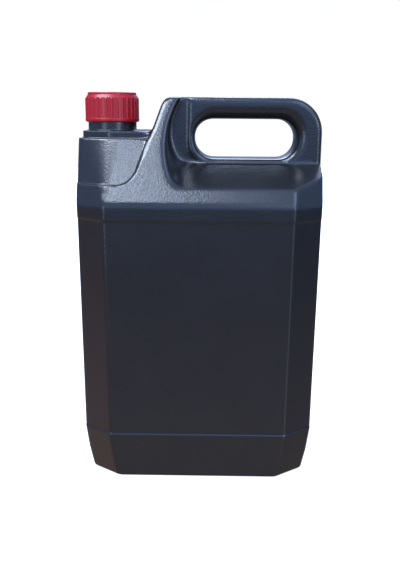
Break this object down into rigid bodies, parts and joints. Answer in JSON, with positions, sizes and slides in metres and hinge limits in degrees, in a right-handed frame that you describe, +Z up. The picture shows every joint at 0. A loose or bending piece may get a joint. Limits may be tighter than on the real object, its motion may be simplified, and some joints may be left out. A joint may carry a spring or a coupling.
{
  "type": "plastic jerrycan",
  "caption": "Dark moulded plastic jerrycan with cut corners, a built-in hand grip at the top and a ribbed red screw cap on an offset neck.",
  "frame": {"origin": "on the floor under the middle of the can", "axes": "+Z up, +X towards the hand grip, -Y towards the front face"},
  "size_m": [0.1944, 0.1262, 0.3116],
  "materials": {
    "can": "satin moulded polyethylene with a fine grain",
    "cap": "satin moulded polypropylene",
    "liner": "smooth sealing foam"
  },
  "bodies": {
    "can": {"can_body": "can"},
    "liner": {"cap_liner": "liner"},
    "cap": {"screw_cap": "cap"}
  },
  "joints": [
    {"name": "cap_lift", "type": "slide", "parent": "can", "child": "liner", "axis": [0, 0, 1], "range_m": [0, 0.0219]},
    {"name": "cap_turn", "type": "hinge", "parent": "liner", "child": "cap", "pos_m": [-0.0723, 0, 0.3], "axis": [0, 0, 1], "range_deg": [0, 1570]}
  ],
  "couplings": [
    {"joint": "cap_lift", "follows": "cap_turn", "m_per_rad": 0.00079577}
  ]
}
